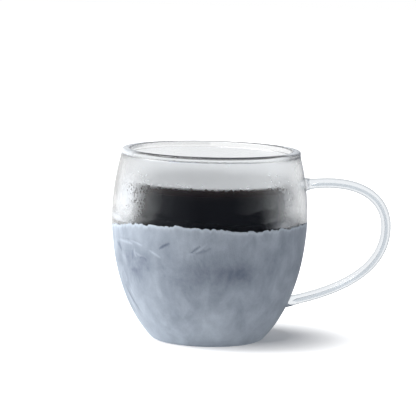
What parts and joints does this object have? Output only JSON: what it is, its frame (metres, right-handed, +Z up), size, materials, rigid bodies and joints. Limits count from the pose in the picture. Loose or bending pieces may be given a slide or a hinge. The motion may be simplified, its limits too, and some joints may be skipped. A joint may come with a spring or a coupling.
{
  "type": "insulated glass mug",
  "caption": "Barrel-shaped insulated glass mug with a D-shaped glass handle and frozen gel between its inner cup and outer wall, which keeps a drink cold.",
  "frame": {"origin": "centre of the standing face, on the axis of the mug", "axes": "+Z up along the axis of the mug, +X towards the handle, +Y across the handle"},
  "size_m": [0.1285, 0.09, 0.088],
  "materials": {
    "outer_glass": "clear blown borosilicate glass, misted above and frosted below",
    "inner_glass": "clear blown borosilicate glass",
    "lip_glass": "fire-polished glass",
    "handle_glass": "drawn clear glass",
    "weld_glass": "fused clear glass, faintly green where it is thick",
    "frozen_gel": "frozen blue-grey gel",
    "stopper_silicone": "translucent white silicone",
    "clear_sealant": "cured clear sealant"
  },
  "bodies": {
    "root": {"outer_wall": "outer_glass", "inner_cup": "inner_glass", "rim_bead": "lip_glass", "handle_rod": "handle_glass", "handle_weld_upper": "weld_glass", "handle_weld_lower": "weld_glass", "cooling_gel": "frozen_gel", "fill_plug": "stopper_silicone", "plug_sealant": "clear_sealant"}
  },
  "joints": []
}
